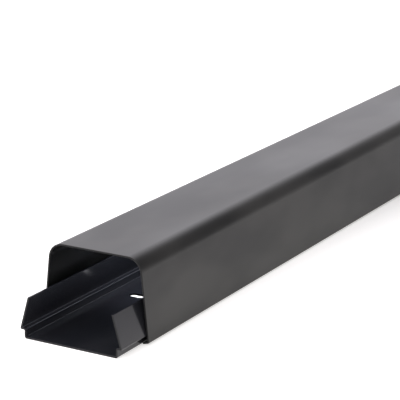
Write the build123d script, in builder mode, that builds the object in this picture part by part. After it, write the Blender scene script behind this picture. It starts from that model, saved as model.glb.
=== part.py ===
from build123d import *
from math import atan2, cos, radians, sin, tan
import os

# Cable trunking in two extruded lengths of even wall. The base channel is screwed to the wall through
# the slots in its floor. The cover is pressed over it until its lips catch under the base's ledges.
# The origin is the centre of the base's underside. X runs across the trunking, Y runs along it and
# Z points out of the wall. All sizes are in millimetres and are taken on the outer faces.

# Stock.
stock_length = 2000.0  # length of each piece
thickness = 1.2        # of the extruded section, the same in both pieces

# Base channel: a floor, and on each side a short riser, a snap ledge and a leg.
base_width = 69.5      # across the two risers
ledge_height = 5.7     # wall plane to the underside of the ledge
ledge_width = 3.35     # riser to the sharp corner of the ledge
leg_height = 28.0      # wall plane to the top of the leg
leg_lean = 6.35        # how far the leg's top stands in from the ledge's corner
floor_radius = 1.5     # outside radius between floor and riser
riser_radius = 0.5     # outside radius between riser and ledge
ledge_radius = 0.8     # outside radius between ledge and leg

# Fixing slots in the floor, lying across the channel.
slot_length = 11.0     # end to end
slot_width = 6.2
slot_spacing = 28.5    # between the two slots of a row
slot_rows = 6
slot_end = 102.0       # first and last row to the base's ends

# Cover: a flat top, rounded corners, and on each side a splayed side and a lip turned inward.
cover_height = 56.3    # wall plane to the top face
side_splay = 6.2       # lean of the sides in degrees, wider towards the wall
corner_radius = 10.8   # outside radius of the top corners
foot_height = 1.4      # wall plane to the sharp outer corner between side and lip
foot_radius = 1.0      # outside radius of that corner
lip_height = 0.2       # wall plane to the lowest edge of the lip
cover_setback = 28.6   # how far the cover is drawn back from the base's front end

# Clearance between the cover and the base where one slides along the other.
slide_gap = 0.3

# The outline of the base's outer face, from the middle of the floor to the top of one leg.
half_length = stock_length / 2
riser_x = base_width / 2
ledge_x = riser_x + ledge_width
leg_top_x = ledge_x - leg_lean

# The ledge's rounded edge stands inside its sharp corner. Its outermost point guides the cover.
leg_angle = atan2(leg_lean, leg_height - ledge_height)
edge_x = ledge_x - ledge_radius * ((1 + sin(leg_angle)) / cos(leg_angle) - 1)
edge_z = ledge_height + ledge_radius

# The cover's side passes the ledge's edge with the slide gap and leans by the splay.
splay = radians(side_splay)
side_x = edge_x + slide_gap + thickness / cos(splay)
top_x = side_x - (cover_height - edge_z) * tan(splay)
foot_x = side_x + (edge_z - foot_height) * tan(splay)

# The lip runs in and down from the foot, and stops the slide gap short of the base's riser.
lip_slope = atan2(foot_height - lip_height, foot_x - riser_x - slide_gap)
lip_x = riser_x + slide_gap + thickness * sin(lip_slope)

with BuildPart() as base_channel:
    with BuildSketch(Plane.XZ.offset(half_length)):
        with BuildLine():
            FilletPolyline(
                (0, 0),
                (riser_x, 0),
                (riser_x, ledge_height),
                (ledge_x, ledge_height),
                (leg_top_x, leg_height),
                radius=[floor_radius, riser_radius, ledge_radius],
            )
            offset(amount=thickness, side=Side.LEFT)
        make_face()
        mirror(about=Plane.YZ)
    extrude(amount=-stock_length)
    # Rows of two slots, evenly spaced between the first and the last row.
    row_pitch = (stock_length - 2 * slot_end) / (slot_rows - 1)
    with BuildSketch(Plane.XY):
        with GridLocations(slot_spacing, row_pitch, 2, slot_rows):
            SlotOverall(slot_length, slot_width)
    extrude(amount=ledge_height, mode=Mode.SUBTRACT)

with BuildPart() as cover:
    with BuildSketch(Plane.XZ.offset(half_length - cover_setback)):
        with BuildLine():
            FilletPolyline(
                (0, cover_height),
                (top_x, cover_height),
                (foot_x, foot_height),
                (lip_x, lip_height),
                radius=[corner_radius, foot_radius],
            )
            offset(amount=thickness, side=Side.RIGHT)
        make_face()
        mirror(about=Plane.YZ)
    extrude(amount=-stock_length)

base_channel.part.label = "base_channel"
cover.part.label = "cover"

os.makedirs("parts", exist_ok=True)
export_step(base_channel.part, "parts/base_channel.step")
export_step(cover.part, "parts/cover.step")
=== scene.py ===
# %% [markdown]
# # A length of two-piece cable trunking
# Cable trunking is a duct for wires. A base channel is screwed to the wall through slots in its floor, the
# wires are laid in, and a cover is pressed over it until its lips catch under two ledges. Both pieces are
# pushed out of a die as one long plastic section and sawn to length, so this lesson models them the same
# way: it draws each section once, rounds its corners and carries it along the length.
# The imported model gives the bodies, the lengths and the heights, and everything is in metres.

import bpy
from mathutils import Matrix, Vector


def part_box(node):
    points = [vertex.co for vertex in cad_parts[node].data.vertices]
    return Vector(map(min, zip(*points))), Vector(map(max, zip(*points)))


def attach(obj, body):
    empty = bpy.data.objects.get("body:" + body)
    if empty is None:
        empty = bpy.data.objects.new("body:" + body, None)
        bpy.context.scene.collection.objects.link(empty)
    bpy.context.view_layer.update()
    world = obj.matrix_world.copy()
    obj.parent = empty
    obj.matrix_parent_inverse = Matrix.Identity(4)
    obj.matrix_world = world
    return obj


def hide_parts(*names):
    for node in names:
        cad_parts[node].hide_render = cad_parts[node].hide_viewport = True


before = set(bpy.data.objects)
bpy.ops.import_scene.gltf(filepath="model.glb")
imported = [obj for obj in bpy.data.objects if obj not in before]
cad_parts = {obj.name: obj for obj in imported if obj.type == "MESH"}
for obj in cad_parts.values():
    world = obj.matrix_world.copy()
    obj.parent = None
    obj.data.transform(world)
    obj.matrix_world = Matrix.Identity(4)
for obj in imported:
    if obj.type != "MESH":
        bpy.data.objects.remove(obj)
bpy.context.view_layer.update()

import bpy
import numpy as np
from math import atan2, cos, degrees, radians, sin, tan
from mathutils import Matrix, Vector

mm = 0.001
base_low, base_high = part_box("base_channel")
cover_low, cover_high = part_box("cover")
print("base", base_low[:], base_high[:], "cover", cover_low[:], cover_high[:])

# %% [markdown]
# ## The camera
# A long object shows its perspective plainly, so the camera comes first. Its place, its turn and its long
# lens were worked out from the directions in which the edges of the trunking run in the photograph. It
# stands to the right of the open end and looks down on it by about 16 degrees.

# %% The camera
camera_place = (0.58075, -1.85252, 0.39914)
camera_azimuth = radians(29.803)
camera_elevation = radians(16.386)
camera_roll = radians(0.298)
nearest_seen, farthest_seen = 0.05, 60.0

camera_data = bpy.data.cameras.new("photo_camera")
camera_data.sensor_width = 36.0
camera_data.lens = 158.936
camera_data.clip_start = nearest_seen
camera_data.clip_end = farthest_seen
camera = bpy.data.objects.new("photo_camera", camera_data)
bpy.context.scene.collection.objects.link(camera)

# A camera looks along its own -Z. Tipping it up by a right angle less the elevation and turning it by the
# azimuth points it at the trunking, and the roll comes first, about its own line of sight.
turn = Matrix.Rotation(camera_azimuth, 4, "Z")
tip = Matrix.Rotation(radians(90) - camera_elevation, 4, "X")
roll = Matrix.Rotation(camera_roll, 4, "Z")
camera.matrix_world = Matrix.Translation(camera_place) @ turn @ tip @ roll
bpy.context.scene.camera = camera
print("camera", camera_place, "lens", camera_data.lens)

# %% [markdown]
# ## The section of the base channel
# The base is one wall of even thickness, bent round a floor, two short risers, two ledges and two legs that
# lean inward. Only the outer faces are drawn, from the middle of the floor outward. The left half is the
# right half mirrored, and the inner faces follow at the wall's thickness, so nothing is typed twice.

# %% Sizes of the base channel
wall = 1.2 * mm
leg_height = base_high.z
base_width = 69.5 * mm
ledge_height = 5.7 * mm
ledge_width = 3.35 * mm
leg_lean = 6.35 * mm
floor_radius = 1.5 * mm
riser_radius = 0.5 * mm
ledge_radius = 0.8 * mm
rim_radius = 0.3 * mm

riser_x = base_width / 2
ledge_x = riser_x + ledge_width
leg_top_x = ledge_x - leg_lean
base_half = [
    (riser_x, 0.0),
    (riser_x, ledge_height),
    (ledge_x, ledge_height),
    (leg_top_x, leg_height),
]
base_radii = np.array([floor_radius, riser_radius, ledge_radius, rim_radius])
print("base section reaches", round(ledge_x / mm, 2), "mm from the middle")

# %% [markdown]
# ## From a line to a wall
# A wall of even thickness has an inner line beside its outer one. Where two runs meet, the inner corner
# stands off along the sum of their two normals. At a bend, the radius on the hollow side is smaller by the
# wall's thickness and on the other side larger by it, as the die makes it. Plastic doesn't come out of a
# die with a knife-sharp hollow, so the hollow side keeps a least radius.

# %% Corners and radii of a wall
least_radius = 0.8 * mm


def wall_corners(line, radii):
    """Corners and radii all round a wall whose outer face is the chain `line`, walked anticlockwise.

    With n and m the left normals of the two runs at a corner, the inner corner is the outer one plus
    wall * (n + m) / (1 + n.m). An end has one run, so there n and m are the same, and it keeps its own
    radius. Elsewhere the inner radius is the outer one less the wall where the chain turns left, but no
    less than `least_radius`, and the outer one plus the wall where it turns right.
    """
    runs = np.diff(line, axis=0)
    runs /= np.linalg.norm(runs, axis=1, keepdims=True)
    left = np.column_stack([-runs[:, 1], runs[:, 0]])
    n = np.vstack([left[:1], left])
    m = np.vstack([left, left[-1:]])
    inner = line + wall * (n + m) / (1 + (n * m).sum(axis=1, keepdims=True))
    turning = n[:, 0] * m[:, 1] - n[:, 1] * m[:, 0]
    bent_radii = np.maximum(radii - wall * np.sign(turning), least_radius)
    inner_radii = np.where(turning == 0, radii, bent_radii)
    return np.vstack([line, inner[::-1]]), np.concatenate([radii, inner_radii[::-1]])


def both_sides(half, radii, outward):
    """The whole chain from its right half, as seen from the open end.

    It runs left to right if `outward`, where the half is given from the middle outward, as on a floor,
    and right to left if not, as on a top.
    """
    half = np.array(half)
    mirrored = half * (-1, 1)
    if outward:
        return np.vstack([mirrored[::-1], half]), np.concatenate([radii[::-1], radii])
    return np.vstack([half[::-1], mirrored]), np.concatenate([radii[::-1], radii])


base_line, base_line_radii = both_sides(base_half, base_radii, outward=True)
base_corners, base_corner_radii = wall_corners(base_line, base_line_radii)
print("base channel:", len(base_corners), "corners round its wall")

# %% [markdown]
# ## Rounding the corners
# Light shows a plastic section by its small radii: each bend carries a bright or a dark line. So every
# corner becomes an arc, and the direction in which the surface faces is worked out with it. Blender could
# guess those normals from the faces, but a guess shades the wide flat faces beside the bends falsely.

# %% Arcs and their normals
arc_points = 11


def rounded(corners, radii):
    """Points and outward normals of a closed chain, every corner an arc: two arrays (corner, point, 2).

    The arc's centre lies on the line that halves the corner, radius / sin(half the angle) away from it.
    A spoke turns evenly from one tangent point to the other: it is the first spoke times the sine of the
    turn still to go plus the last one times the sine of the turn made, over the sine of the whole turn.
    The normal is the spoke made one long, turned round where the chain bends to the right.
    """
    back = np.roll(corners, 1, axis=0) - corners
    ahead = np.roll(corners, -1, axis=0) - corners
    back /= np.linalg.norm(back, axis=1, keepdims=True)
    ahead /= np.linalg.norm(ahead, axis=1, keepdims=True)
    half = np.arccos(np.clip((back * ahead).sum(axis=1, keepdims=True), -1, 1)) / 2
    middle = (back + ahead) / np.linalg.norm(back + ahead, axis=1, keepdims=True)
    radii = radii[:, None]
    centre = corners + middle * radii / np.sin(half)
    first = corners + back * radii / np.tan(half) - centre
    last = corners + ahead * radii / np.tan(half) - centre
    made = np.linspace(0, 1, arc_points)[None, :, None]
    whole = (np.pi - 2 * half)[:, None]
    spokes = np.sin((1 - made) * whole) * first[:, None] + np.sin(made * whole) * last[:, None]
    spokes /= np.sin(whole)
    bend = np.sign(ahead[:, 0] * back[:, 1] - ahead[:, 1] * back[:, 0])
    normals = bend[:, None, None] * spokes / radii[:, None]
    return centre[:, None] + spokes, normals


base_arcs, base_arc_normals = rounded(base_corners, base_corner_radii)
print("arcs", base_arcs.shape, "widest point", round(base_arcs[..., 0].max() / mm, 3), "mm")

# %% [markdown]
# ## Slots in the floor
# The base is screwed down through rows of two slots that lie across it. A hole could be cut by a Boolean
# modifier, but that leaves long thin faces. Here the floor is slit across at each row, and the lips of the
# slit are drawn apart: each column of the mesh keeps its x, and its lip moves along the trunking by the
# slot's half width at that x. Columns therefore stand where the rounded ends of the slots need them.

# %% Columns of the floor
slot_length = 11.0 * mm
slot_width = 6.2 * mm
slot_spacing = 28.5 * mm
slot_rows = 6
slot_end = 102.0 * mm
slot_rim = 0.2 * mm
round_end_points = 18

half_turn = np.linspace(np.pi, 0, round_end_points)
end_x = np.where(half_turn > np.pi / 2, -1, 1) * (slot_length - slot_width) / 2


def slot_outline(growth):
    """Half the outline of a slot grown by `growth`: x and half width at each angle of its rounded ends."""
    radius = slot_width / 2 + growth
    return end_x + radius * np.cos(half_turn), radius * np.sin(half_turn)


lip_x, lip_y = slot_outline(slot_rim)
floor_x = np.concatenate([lip_x - slot_spacing / 2, lip_x + slot_spacing / 2])
floor_lip = np.concatenate([lip_y, lip_y])
slot_y = np.linspace(base_low.y + slot_end, base_high.y - slot_end, slot_rows)
print("slot rows at", np.round(slot_y / mm, 1), "mm")


# %% The closed section of the base channel
def floor_run(height, facing):
    """Points and normals of the floor's columns at one height, from left to right."""
    points = np.column_stack([floor_x, np.full(len(floor_x), height)])
    return points, np.tile((0.0, facing), (len(floor_x), 1))


def closed(parts):
    """One array from the parts of a loop, with its first row again at the end."""
    joined = np.concatenate([np.asarray(part) for part in parts])
    return np.concatenate([joined, joined[:1]])


# The arcs come in four equal runs: left and right on the outer face, then right and left on the inner one.
# The floor's columns go between the two runs of each face.
under, under_normals = floor_run(0.0, -1.0)
upper, upper_normals = floor_run(wall, 1.0)
quarter = len(base_corners) // 4
sides = base_arcs.reshape(4, quarter * arc_points, 2)
side_normals = base_arc_normals.reshape(4, quarter * arc_points, 2)
base_loop = closed([sides[0], under, sides[1], sides[2], upper[::-1], sides[3]])
base_loop_normals = closed([
    side_normals[0], under_normals, side_normals[1], side_normals[2], upper_normals, side_normals[3]
])
flat = np.zeros(quarter * arc_points)
base_lip = closed([flat, floor_lip, flat, flat, floor_lip[::-1], flat])
print("base section:", len(base_loop) - 1, "points round the wall")

# %% [markdown]
# ## Carrying a section along the length
# Both pieces are straight, so the path is a list of rows along Y. At each end the saw leaves a small rim,
# which the first few rows turn over like a quarter of a circle before the flat cut face begins.

# %% Rows along the length
cut_rim = 0.15 * mm
rim_points = 5
row_step = 50 * mm
slot_margin = 9 * mm
clear_of_slot = 1.5 * slot_margin


def end_rows(place, direction):
    """Rows of a sawn end: (place, slit side, inset, outward part, lengthwise part of the normal).

    Over a quarter turn t the section stands in by rim * (1 - sin t) and the row is rim * (1 - cos t) in
    from the end, while the normal swings from lengthwise to outward.
    """
    t = np.linspace(0, np.pi / 2, rim_points)
    along = place - direction * cut_rim * (1 - np.cos(t))
    return np.column_stack([along, 0 * t, cut_rim * (1 - np.sin(t)), np.sin(t), direction * np.cos(t)])


def plain_rows(places, side=0.0):
    """Rows of the full section, `side` saying which lip of a slit they are."""
    ones = np.ones(len(places))
    return np.column_stack([places, side * ones, 0 * ones, ones, 0 * ones])


def length_rows(low, high, slits=()):
    """All rows of a piece in order.

    A slit has two rows at the same place, one for each lip, and a plain row on either side, `slot_margin`
    away. The evenly spaced rows keep clear of it.
    """
    slits = np.asarray(slits, float)
    between = np.arange(low + row_step, high - row_step / 2, row_step)
    near = np.abs(between[:, None] - slits[None, :]) < clear_of_slot
    middle = np.concatenate([
        plain_rows(between[~near.any(axis=1)]),
        plain_rows(slits - slot_margin),
        plain_rows(slits, -1.0),
        plain_rows(slits, 1.0),
        plain_rows(slits + slot_margin),
    ])
    middle = middle[np.lexsort((middle[:, 1], middle[:, 0]))]
    return np.concatenate([end_rows(low, -1.0), middle, end_rows(high, 1.0)[::-1]])


base_rows = length_rows(base_low.y, base_high.y, slot_y)
cover_rows = length_rows(cover_low.y, cover_high.y)
print("rows: base", len(base_rows), "cover", len(cover_rows))


# %% The carried surface
def carried(loop, normals, lip, rows):
    """Points, normals and UVs of a section at every row, as arrays (row, point, 3) and (row, point, 2).

    Point = loop point - inset * its normal, at the row's place plus the row's slit side times the lip.
    Normal = outward part times the loop's normal, with the row's lengthwise part along Y.
    UV = distance round the wall and distance along the piece, in metres.
    """
    place, side, inset, outward, lengthwise = (column[:, None] for column in rows.T)
    x = loop[None, :, 0] - inset * normals[None, :, 0]
    z = loop[None, :, 1] - inset * normals[None, :, 1]
    y = place + side * lip[None, :]
    points = np.stack([x, y, z], axis=-1)
    facing = np.stack([
        outward * normals[None, :, 0],
        lengthwise + 0 * x,
        outward * normals[None, :, 1],
    ], axis=-1)
    steps = np.linalg.norm(np.diff(loop, axis=0), axis=1)
    round_wall = np.concatenate([[0.0], np.cumsum(steps)])
    uv = np.stack([round_wall[None, :] + 0 * y, y], axis=-1)
    return points, facing, uv


def grid_faces(rows, columns, start=0, skip=None):
    """Corner numbers of a grid's quads, in the order that faces outward.

    `skip` marks the bands between two rows that stay open.
    """
    number = start + np.arange(rows * columns).reshape(rows, columns)
    quads = np.stack([number[:-1, :-1], number[1:, :-1], number[1:, 1:], number[:-1, 1:]], axis=-1)
    if skip is not None:
        quads = quads[~skip]
    return quads.reshape(-1, 4)


def cap_faces(columns, row, front):
    """Quads across the wall at one row: an outer point, the next one and their two mates inside."""
    outer = np.arange((columns - 1) // 2 - 1)
    mate = columns - 2 - outer
    quads = np.stack([outer, outer + 1, mate - 1, mate], axis=-1)
    return row * columns + (quads if front else quads[:, ::-1])


print("one band of the base's skin has", len(grid_faces(2, len(base_loop))), "faces")

# %% [markdown]
# ## From arrays to a mesh
# The skin, the cut faces and the walls of the slots are worked out apart, but a length of plastic is one
# closed body. So they become patches of one mesh: points that fall on the same place are made one, and each
# face corner still keeps its own patch's normal and UV, which keeps the cuts crisp.

# %% Patches to a mesh
same_place = 1e-8
skin_material, sawn_material = 0, 1


def surface_object(name, patches):
    """A mesh object from patches of (points, normals, uv, faces, material number).

    Points on the same step of `same_place`, a hundredth of a micrometre, are made one.
    """
    offsets = np.cumsum([0] + [patch[0].reshape(-1, 3).shape[0] for patch in patches])
    points = np.concatenate([patch[0].reshape(-1, 3) for patch in patches])
    normals = np.concatenate([patch[1].reshape(-1, 3) for patch in patches])
    uvs = np.concatenate([patch[2].reshape(-1, 2) for patch in patches])
    faces = np.concatenate([patch[3] + start for patch, start in zip(patches, offsets)])
    kinds = np.concatenate([np.full(len(patch[3]), patch[4]) for patch in patches])
    _, first, welded = np.unique(
        np.round(points / same_place).astype(np.int64), axis=0, return_index=True, return_inverse=True
    )
    mesh = bpy.data.meshes.new(name)
    mesh.from_pydata(points[first], [], welded.reshape(-1)[faces].tolist())
    corner_uv = mesh.uv_layers.new(name="wall_metres")
    corner_uv.data.foreach_set("uv", uvs[faces.ravel()].ravel())
    mesh.polygons.foreach_set("material_index", kinds)
    mesh.shade_smooth()
    mesh.normals_split_custom_set(normals[faces.ravel()].tolist())
    mesh.update()
    made = bpy.data.objects.new(name, mesh)
    bpy.context.scene.collection.objects.link(made)
    print(name, len(mesh.vertices), "points", len(mesh.polygons), "faces")
    return made


def carried_patches(loop, normals, lip, rows):
    """The skin of a carried section and its two cut faces, as patches for surface_object."""
    points, facing, uv = carried(loop, normals, lip, rows)
    count, columns = points.shape[:2]
    open_slit = (rows[:-1, 1] < 0) & (rows[1:, 1] > 0)
    skin = (points, facing, uv, grid_faces(count, columns, skip=open_slit), skin_material)
    caps = [
        (points, facing, points[..., [0, 2]], cap_faces(columns, row, row == 0), sawn_material)
        for row in (0, count - 1)
    ]
    return [skin, *caps]


base_patches = carried_patches(base_loop, base_loop_normals, base_lip, base_rows)
print("skin of the base:", len(base_patches[0][3]), "faces")

# %% [markdown]
# ## The walls of the slots
# The lips now stand open, and each slot needs the short wall between the upper and the lower face of the
# floor. It is the slot's outline carried down a small profile: over the upper rim, straight down and over
# the lower rim.


# %% Walls of the slots
def slot_walls():
    """The walls of all slots as one patch, an array (slot, outline point, profile point, 3).

    Over each rim, for a quarter turn t, the outline is grown by rim * (1 - sin t) and the height is
    rim * (1 - cos t) from the face. The normal swings from the face's to one that points into the slot.
    """
    t = np.linspace(0, np.pi / 2, rim_points)
    growth = slot_rim * (1 - np.sin(t))
    depth = slot_rim * (1 - np.cos(t))
    growth = np.concatenate([growth, growth[::-1]])
    height = np.concatenate([wall - depth, depth[::-1]])
    sideways = np.concatenate([np.sin(t), np.sin(t)[::-1]])
    upright = np.concatenate([np.cos(t), -np.cos(t)[::-1]])
    angle = np.concatenate([half_turn, -half_turn[-2:0:-1], half_turn[:1]])
    centre_x = np.concatenate([end_x, end_x[-2:0:-1], end_x[:1]])
    radius = slot_width / 2 + growth[None, :]
    x = centre_x[:, None] + radius * np.cos(angle)[:, None]
    y = -radius * np.sin(angle)[:, None]
    x_at, y_at = np.meshgrid([-slot_spacing / 2, slot_spacing / 2], slot_y)
    shape = (x_at.size, *x.shape)
    points = np.stack([
        np.broadcast_to(x_at.reshape(-1, 1, 1) + x, shape),
        np.broadcast_to(y_at.reshape(-1, 1, 1) + y, shape),
        np.broadcast_to(height, shape),
    ], axis=-1)
    facing = np.stack([
        np.broadcast_to(-sideways * np.cos(angle)[:, None], shape),
        np.broadcast_to(sideways * np.sin(angle)[:, None], shape),
        np.broadcast_to(upright, shape),
    ], axis=-1)
    return points, facing


slot_points, slot_facing = slot_walls()
slots, outline, depth_points = slot_points.shape[:3]
slot_faces = np.concatenate([
    grid_faces(outline, depth_points, start=slot * outline * depth_points)[:, ::-1]
    for slot in range(slots)
])
slot_patch = (slot_points, slot_facing, slot_points[..., [0, 1]], slot_faces, skin_material)
print("slots", slots, "faces in their walls", len(slot_faces))

# %% [markdown]
# ## The section of the cover
# The cover is drawn the same way: a flat top, a large rounded corner, a side that leans outward towards the
# wall, and a lip turned in and down under the ledge. Its side passes the ledge's rounded edge with a small
# gap, so its place comes from the base.

# %% Sizes of the cover
slide_gap = 0.3 * mm
cover_height = cover_high.z
splay = radians(6.2)
corner_radius = 10.8 * mm
foot_height = 1.4 * mm
foot_radius = 1.0 * mm
lip_height = 0.2 * mm

leg_angle = atan2(leg_lean, leg_height - ledge_height)
edge_x = ledge_x - ledge_radius * ((1 + sin(leg_angle)) / cos(leg_angle) - 1)
edge_z = ledge_height + ledge_radius
side_x = edge_x + slide_gap + wall / cos(splay)
top_x = side_x - (cover_height - edge_z) * tan(splay)
foot_x = side_x + (edge_z - foot_height) * tan(splay)
lip_slope = atan2(foot_height - lip_height, foot_x - riser_x - slide_gap)
lip_x_end = riser_x + slide_gap + wall * sin(lip_slope)
cover_half = [(top_x, cover_height), (foot_x, foot_height), (lip_x_end, lip_height)]
cover_radii = np.array([corner_radius, foot_radius, rim_radius])
print("cover is", round(2 * top_x / mm, 2), "mm wide at the top, its lips lean", round(degrees(lip_slope), 1))

# %% The two pieces
cover_line, cover_line_radii = both_sides(cover_half, cover_radii, outward=False)
cover_arcs, cover_arc_normals = rounded(*wall_corners(cover_line, cover_line_radii))
cover_loop = closed([cover_arcs.reshape(-1, 2)])
cover_loop_normals = closed([cover_arc_normals.reshape(-1, 2)])
no_lip = np.zeros(len(cover_loop))
cover_patches = carried_patches(cover_loop, cover_loop_normals, no_lip, cover_rows)

base_piece = surface_object("base_length", [*base_patches, slot_patch])
cover_piece = surface_object("cover_length", cover_patches)
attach(base_piece, "base")
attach(cover_piece, "cover")
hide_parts("base_channel")
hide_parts("cover")

# %% [markdown]
# ## Satin black plastic
# Extruded plastic is not evenly smooth. The die draws fine lines along the length, the cooling leaves slow
# waves in the wall, and the skin has a fine grain and a thin haze that lies on it in clouds. All of it
# follows the length of the piece, so the patterns read the piece's own UV map, which holds metres round the
# wall and metres along it. The base is a little glossier than the cover, whose waves are stronger.


# %% Helpers for the materials
def new_material(name):
    """A material with nodes, its tree and its Principled shader."""
    material = bpy.data.materials.new(name)
    material.use_nodes = True
    tree = material.node_tree
    return material, tree, tree.nodes["Principled BSDF"]


def wall_metres(tree):
    """The piece's own UV map, in metres round the wall and along it."""
    node = tree.nodes.new("ShaderNodeUVMap")
    node.uv_map = "wall_metres"
    return node.outputs["UV"]


def stretched_noise(tree, source, scale, detail):
    """Noise on the coordinates of `source` times `scale` (round, along, unused): its 0 to 1 value."""
    mapping = tree.nodes.new("ShaderNodeMapping")
    mapping.inputs["Scale"].default_value = scale
    tree.links.new(source, mapping.inputs["Vector"])
    noise = tree.nodes.new("ShaderNodeTexNoise")
    noise.noise_dimensions = "2D"
    noise.inputs["Scale"].default_value = 1.0
    noise.inputs["Detail"].default_value = detail
    tree.links.new(mapping.outputs["Vector"], noise.inputs["Vector"])
    return noise.outputs["Fac"]


def ranged(tree, value, low, high, low_out, high_out):
    """`value` moved from low..high to low_out..high_out."""
    node = tree.nodes.new("ShaderNodeMapRange")
    for socket, number in zip(("From Min", "From Max", "To Min", "To Max"), (low, high, low_out, high_out)):
        node.inputs[socket].default_value = number
    tree.links.new(value, node.inputs["Value"])
    return node.outputs["Result"]


def smooth_range(tree, value, low, high, low_out, high_out):
    """The same with a smooth start and end: 3t^2 - 2t^3 of the way t from low to high."""
    result = ranged(tree, value, low, high, low_out, high_out)
    result.node.interpolation_type = "SMOOTHSTEP"
    return result


def mixed_colour(tree, factor, first, second):
    """A colour between two, by a factor from a pattern.

    The Mix node has sockets of one name for every kind of data, so its colour sockets go by number.
    """
    node = tree.nodes.new("ShaderNodeMix")
    node.data_type = "RGBA"
    colour_a, colour_b, colour_out = node.inputs[6], node.inputs[7], node.outputs[2]
    colour_a.default_value = (*first, 1.0)
    colour_b.default_value = (*second, 1.0)
    tree.links.new(factor, node.inputs[0])
    return colour_out


def bumped(tree, height, distance, below=None):
    """A normal tilted by a height pattern whose full range is `distance` metres."""
    node = tree.nodes.new("ShaderNodeBump")
    node.inputs["Strength"].default_value = 1.0
    node.inputs["Distance"].default_value = distance
    tree.links.new(height, node.inputs["Height"])
    if below is not None:
        tree.links.new(below, node.inputs["Normal"])
    return node.outputs["Normal"]


print("maps to draw on:", {piece.name: piece.data.uv_layers[0].name for piece in (base_piece, cover_piece)})


# %% The plastic skin
# Cells of each pattern in a metre, round the wall and along it, and the depth of the shallow reliefs.
wave_cells, cloud_cells = (16.0, 7.0, 1.0), (24.0, 11.0, 1.0)
band_cells, band_depth = (420.0, 1.5, 1.0), 0.001 * mm
line_cells, line_depth = (3200.0, 9.0, 1.0), 0.0008 * mm
grain_cells, grain_depth = (2600.0, 2600.0, 1.0), 0.0015 * mm


def extruded_plastic(name, dark, light, rough_low, rough_high, wave_depth, ior):
    """Black plastic with slow waves, die lines along the length, a fine grain and clouds of haze.

    The colour lies between `dark` and `light` by the haze, the roughness between its two ends by the waves.
    The normal is tilted by the waves, then by wide bands, fine lines and the grain, each far shallower.
    """
    material, tree, shader = new_material(name)
    metres = wall_metres(tree)
    waves = stretched_noise(tree, metres, wave_cells, detail=1.0)
    clouds = stretched_noise(tree, metres, cloud_cells, detail=2.0)
    bands = stretched_noise(tree, metres, band_cells, detail=2.0)
    lines = stretched_noise(tree, metres, line_cells, detail=2.0)
    grain = stretched_noise(tree, metres, grain_cells, detail=3.0)
    haze = smooth_range(tree, clouds, 0.3, 0.7, 0.0, 1.0)
    tree.links.new(mixed_colour(tree, haze, dark, light), shader.inputs["Base Color"])
    roughness = smooth_range(tree, waves, 0.2, 0.8, rough_low, rough_high)
    tree.links.new(roughness, shader.inputs["Roughness"])
    shader.inputs["IOR"].default_value = ior
    normal = bumped(tree, waves, wave_depth)
    for relief, depth in ((bands, band_depth), (lines, line_depth), (grain, grain_depth)):
        normal = bumped(tree, relief, depth, normal)
    tree.links.new(normal, shader.inputs["Normal"])
    return material


base_skin = extruded_plastic(
    "base_plastic_skin", dark=(0.013, 0.014, 0.017), light=(0.020, 0.020, 0.023),
    rough_low=0.15, rough_high=0.2, wave_depth=0.05 * mm, ior=1.46,
)
cover_skin = extruded_plastic(
    "cover_plastic_skin", dark=(0.004, 0.004, 0.003), light=(0.025, 0.024, 0.021),
    rough_low=0.3, rough_high=0.37, wave_depth=0.4 * mm, ior=1.36,
)
print("skins", base_skin.name, cover_skin.name)


# %% The sawn ends
mark_cells, mark_depth = (5000.0, 240.0, 1.0), 0.01 * mm


def sawn_plastic(name, dark, light):
    """The cut face: dark and dull, with the fine lines of the saw."""
    material, tree, shader = new_material(name)
    marks = stretched_noise(tree, wall_metres(tree), mark_cells, detail=2.0)
    shader.inputs["Specular IOR Level"].default_value = 0.2
    tree.links.new(mixed_colour(tree, marks, dark, light), shader.inputs["Base Color"])
    tree.links.new(ranged(tree, marks, 0.3, 0.7, 0.5, 0.65), shader.inputs["Roughness"])
    tree.links.new(bumped(tree, marks, mark_depth), shader.inputs["Normal"])
    return material


sawn_ends = sawn_plastic("sawn_plastic", (0.008, 0.008, 0.008), (0.016, 0.016, 0.016))
for piece, skin in ((base_piece, base_skin), (cover_piece, cover_skin)):
    piece.data.materials.append(skin)
    piece.data.materials.append(sawn_ends)
print("materials", [material.name for material in bpy.data.materials])

# %% [markdown]
# ## Floor and light
# The photograph was taken on white, and the slots show white through them, as on a light table. So the
# pale floor carries painted light: its material glows by itself, though it is no lamp, and the glow fades
# out to the right, quickly at first and then slowly, which the cover's side mirrors as its soft grey. The
# world is a wide window: bright at the left and higher up, dim at the right. The flat top mirrors the window
# and the rounded corner mirrors the dim part. A softbox lights the open end from the front. Three small lamps
# sit inside the cover, where no other light gets in: a wide one lifts the duct's floor near the first slots,
# a narrow strip draws the bright lines along the ledges, and a thin weak one washes the cover's inner side.

# %% The floor
floor_reach = 25.0
floor_drop = 0.1 * mm
# Strengths of the floor's painted glow, an emission that is no lamp, in a quick and a slow fade.
quick_glow, slow_glow = 0.45, 0.16
right_of_view = (0.918, 0.396, 0.0)
floor_corners = [(-1, -1), (1, -1), (1, 1), (-1, 1)]
floor_mesh = bpy.data.meshes.new("studio_floor")
floor_points = [(x * floor_reach, y * floor_reach, -floor_drop) for x, y in floor_corners]
floor_mesh.from_pydata(floor_points, [], [(0, 1, 2, 3)])
floor = bpy.data.objects.new("studio_floor", floor_mesh)
bpy.context.scene.collection.objects.link(floor)
floor_material, floor_tree, floor_shader = new_material("pale_floor")
floor_shader.inputs["Base Color"].default_value = (0.8, 0.79, 0.77, 1.0)
floor_shader.inputs["Roughness"].default_value = 0.9
floor_shader.inputs["Specular IOR Level"].default_value = 0.0
floor_shader.inputs["Emission Color"].default_value = (1.0, 0.985, 0.96, 1.0)

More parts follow.
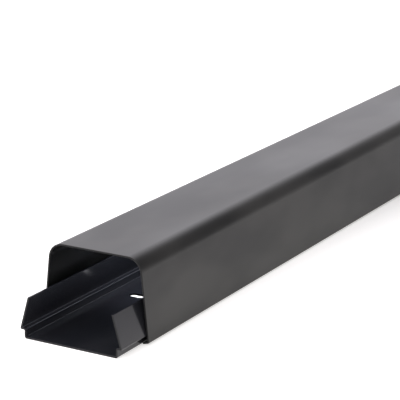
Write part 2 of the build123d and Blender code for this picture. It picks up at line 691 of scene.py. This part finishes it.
# The dot product of a point on the floor with a level direction says how far to the right the point lies.
floor_place = floor_tree.nodes.new("ShaderNodeTexCoord")
beyond = floor_tree.nodes.new("ShaderNodeVectorMath")
beyond.operation = "DOT_PRODUCT"
beyond.inputs[1].default_value = right_of_view
floor_tree.links.new(floor_place.outputs["Object"], beyond.inputs[0])
# Painted light: the floor's emission, strong on the left and fading out to the right in a quick and a slow
# step.
quick_fade = smooth_range(floor_tree, beyond.outputs["Value"], -0.3, -0.06, quick_glow, 0.0)
slow_fade = smooth_range(floor_tree, beyond.outputs["Value"], -0.2, 1.0, slow_glow, 0.0)
glow = floor_tree.nodes.new("ShaderNodeMath")
glow.operation = "ADD"
floor_tree.links.new(quick_fade, glow.inputs[0])
floor_tree.links.new(slow_fade, glow.inputs[1])
floor_tree.links.new(glow.outputs[0], floor_shader.inputs["Emission Strength"])
floor_mesh.materials.append(floor_material)
print("floor", 2 * floor_reach, "m wide, its glow fading towards", right_of_view)

# %% The world
dimmest, brightest = 0.42, 1.94
low_share = 0.38

# The window reads the direction that is looked in: X says how far right it points, and Z how far up.
world = bpy.data.worlds.new("studio")
world.use_nodes = True
bpy.context.scene.world = world
sky = world.node_tree
direction = sky.nodes.new("ShaderNodeTexCoord")
split = sky.nodes.new("ShaderNodeSeparateXYZ")
sky.links.new(direction.outputs["Generated"], split.inputs["Vector"])
sideways = smooth_range(sky, split.outputs["X"], -0.34, 0.16, 1.0, 0.0)
upward = smooth_range(sky, split.outputs["Z"], 0.19, 0.30, low_share, 1.0)
window = sky.nodes.new("ShaderNodeMath")
window.operation = "MULTIPLY"
sky.links.new(sideways, window.inputs[0])
sky.links.new(upward, window.inputs[1])
strength = ranged(sky, window.outputs[0], 0.0, 1.0, dimmest, brightest)
sky.links.new(strength, sky.nodes["Background"].inputs["Strength"])
sky.nodes["Background"].inputs["Color"].default_value = (0.98, 0.96, 1.02, 1.0)
print("world strength from", dimmest, "to", brightest)


# %% The lamps
def softbox(name, place, target, width, height, watts, colour):
    """A rectangular lamp at `place` that shines towards `target`, its sides in metres."""
    data = bpy.data.lights.new(name, "AREA")
    data.shape = "RECTANGLE"
    data.size = width
    data.size_y = height
    data.energy = watts
    data.color = colour
    lamp = bpy.data.objects.new(name, data)
    bpy.context.scene.collection.objects.link(lamp)
    aim = (Vector(target) - Vector(place)).to_track_quat("-Z", "Y")
    lamp.matrix_world = Matrix.Translation(place) @ aim.to_matrix().to_4x4()
    return lamp


pale, cool, blue = (0.95, 0.95, 1.0), (0.84, 0.87, 1.0), (0.62, 0.72, 1.0)
softbox("front_softbox", (0.35, -2.2, 0.9), (0.0, -0.9, 0.0), 0.5, 0.5, 8.0, pale)

# Inside the cover only the strip is mirrored in the plastic. The other two just lift its colour.
lamp_gap = 1.6 * mm
under_top = cover_high.z - wall - lamp_gap
fill_y, strip_y = base_low.y + 0.125, base_low.y + 0.2
fill = softbox("fill_in_duct", (-0.006, fill_y, under_top), (-0.006, fill_y, 0.0), 0.03, 0.08, 0.024, cool)
strip = softbox("strip_in_duct", (0.022, strip_y, under_top), (0.022, strip_y, 0.0), 0.014, 0.24, 0.055, cool)
wash = softbox("wash_in_duct", (0.01, fill_y, 0.045), (-0.036, fill_y, 0.033), 0.24, 0.004, 0.006, blue)
fill.data.spread = radians(100)
wash.data.spread = radians(70)
for lamp in (fill, wash):
    lamp.visible_glossy = False
for lamp in (fill, strip, wash):
    lamp.visible_camera = False
    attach(lamp, "cover")
bpy.context.scene.view_settings.view_transform = "Standard"
